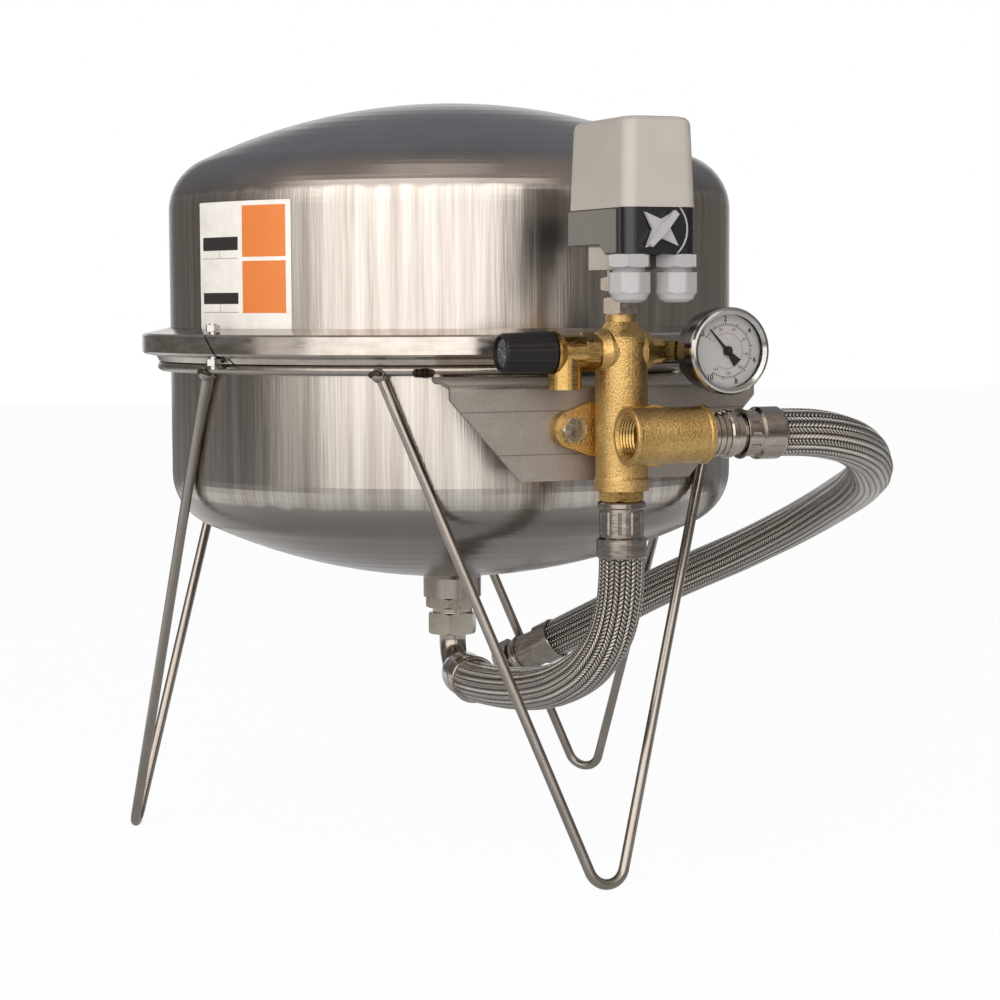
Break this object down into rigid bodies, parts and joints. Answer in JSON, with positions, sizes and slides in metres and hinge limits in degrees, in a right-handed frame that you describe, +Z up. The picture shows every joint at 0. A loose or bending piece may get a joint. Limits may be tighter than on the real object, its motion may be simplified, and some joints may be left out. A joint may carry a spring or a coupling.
{
  "type": "well pressure tank",
  "caption": "Steel diaphragm pressure tank on a welded rod stand, with a cast brass manifold, pressure switch, gauge, relief valve and braided hoses.",
  "frame": {"origin": "on the floor under the tank's axis", "axes": "+Z up along the tank's axis, -Y to the front where the manifold is, +X to the right along the manifold's side ports"},
  "size_m": [0.5458, 0.6475, 0.5997],
  "materials": {
    "shell_steel": "brushed lengthwise",
    "rod_steel": "drawn rod, satin",
    "clamp_steel": "polished",
    "sheet_steel": "mill finish",
    "membrane": "moulded",
    "zinc": "zinc plated",
    "nickel": "nickel plated",
    "cast_brass": "sand cast",
    "turned_brass": "turned",
    "black_plastic": "moulded",
    "grey_plastic": "moulded",
    "light_grey_plastic": "moulded",
    "plate_grey": "matt",
    "dial_white": "printed",
    "bezel_steel": "polished",
    "clear": "clear",
    "braid": "woven wire",
    "label_film": "printed film"
  },
  "bodies": {
    "tank": {"upper_shell": "shell_steel", "lower_shell": "shell_steel", "diaphragm": "membrane", "clamp_ring": "clamp_steel", "clamp_bolt": "zinc", "bottom_socket": "rod_steel", "reducing_bush": "nickel", "union_nut": "nickel", "elbow": "nickel", "gas_valve": "turned_brass", "gas_valve_cap": "black_plastic", "stand_ring": "rod_steel", "left_leg": "rod_steel", "front_leg": "rod_steel", "rear_leg": "rod_steel", "bracket": "sheet_steel", "manifold": "cast_brass", "manifold_bolts": "zinc", "bottom_adapter": "turned_brass", "relief_body": "turned_brass", "gauge_stem": "turned_brass", "gauge_case": "black_plastic", "gauge_bezel": "bezel_steel", "gauge_dial": "dial_white", "gauge_spindle": "turned_brass", "gauge_glass": "clear", "switch_nut": "nickel", "switch_fitting": "nickel", "switch_flange": "light_grey_plastic", "switch_base": "black_plastic", "switch_cover": "grey_plastic", "switch_plate": "plate_grey", "left_gland": "light_grey_plastic", "right_gland": "light_grey_plastic", "left_gland_nut": "light_grey_plastic", "right_gland_nut": "light_grey_plastic", "feed_ferrule": "rod_steel", "feed_hose": "braid", "feed_end_ferrule": "rod_steel", "supply_nipple": "nickel", "supply_ferrule": "rod_steel", "supply_hose": "braid", "supply_end_ferrule": "rod_steel", "supply_end_nut": "nickel", "shell_label": "label_film"},
    "pointer": {"gauge_pointer": "black_plastic"},
    "knob": {"switch_knob": "light_grey_plastic"},
    "test_cap": {"relief_cap": "black_plastic", "relief_disc": "zinc"}
  },
  "joints": [
    {"name": "pointer_turn", "type": "hinge", "parent": "tank", "child": "pointer", "pos_m": [0.068, -0.3545, 0.4017], "axis": [0, 1, 0], "range_deg": [0, 270]},
    {"name": "knob_turn", "type": "hinge", "parent": "tank", "child": "knob", "pos_m": [-0.002, -0.387, 0.4863], "axis": [0, 1, 0], "range_deg": [0, 90]},
    {"name": "cap_turn", "type": "hinge", "parent": "tank", "child": "test_cap", "pos_m": [-0.0695, -0.323, 0.4017], "axis": [-1, 0, 0], "range_deg": [0, 90]}
  ]
}
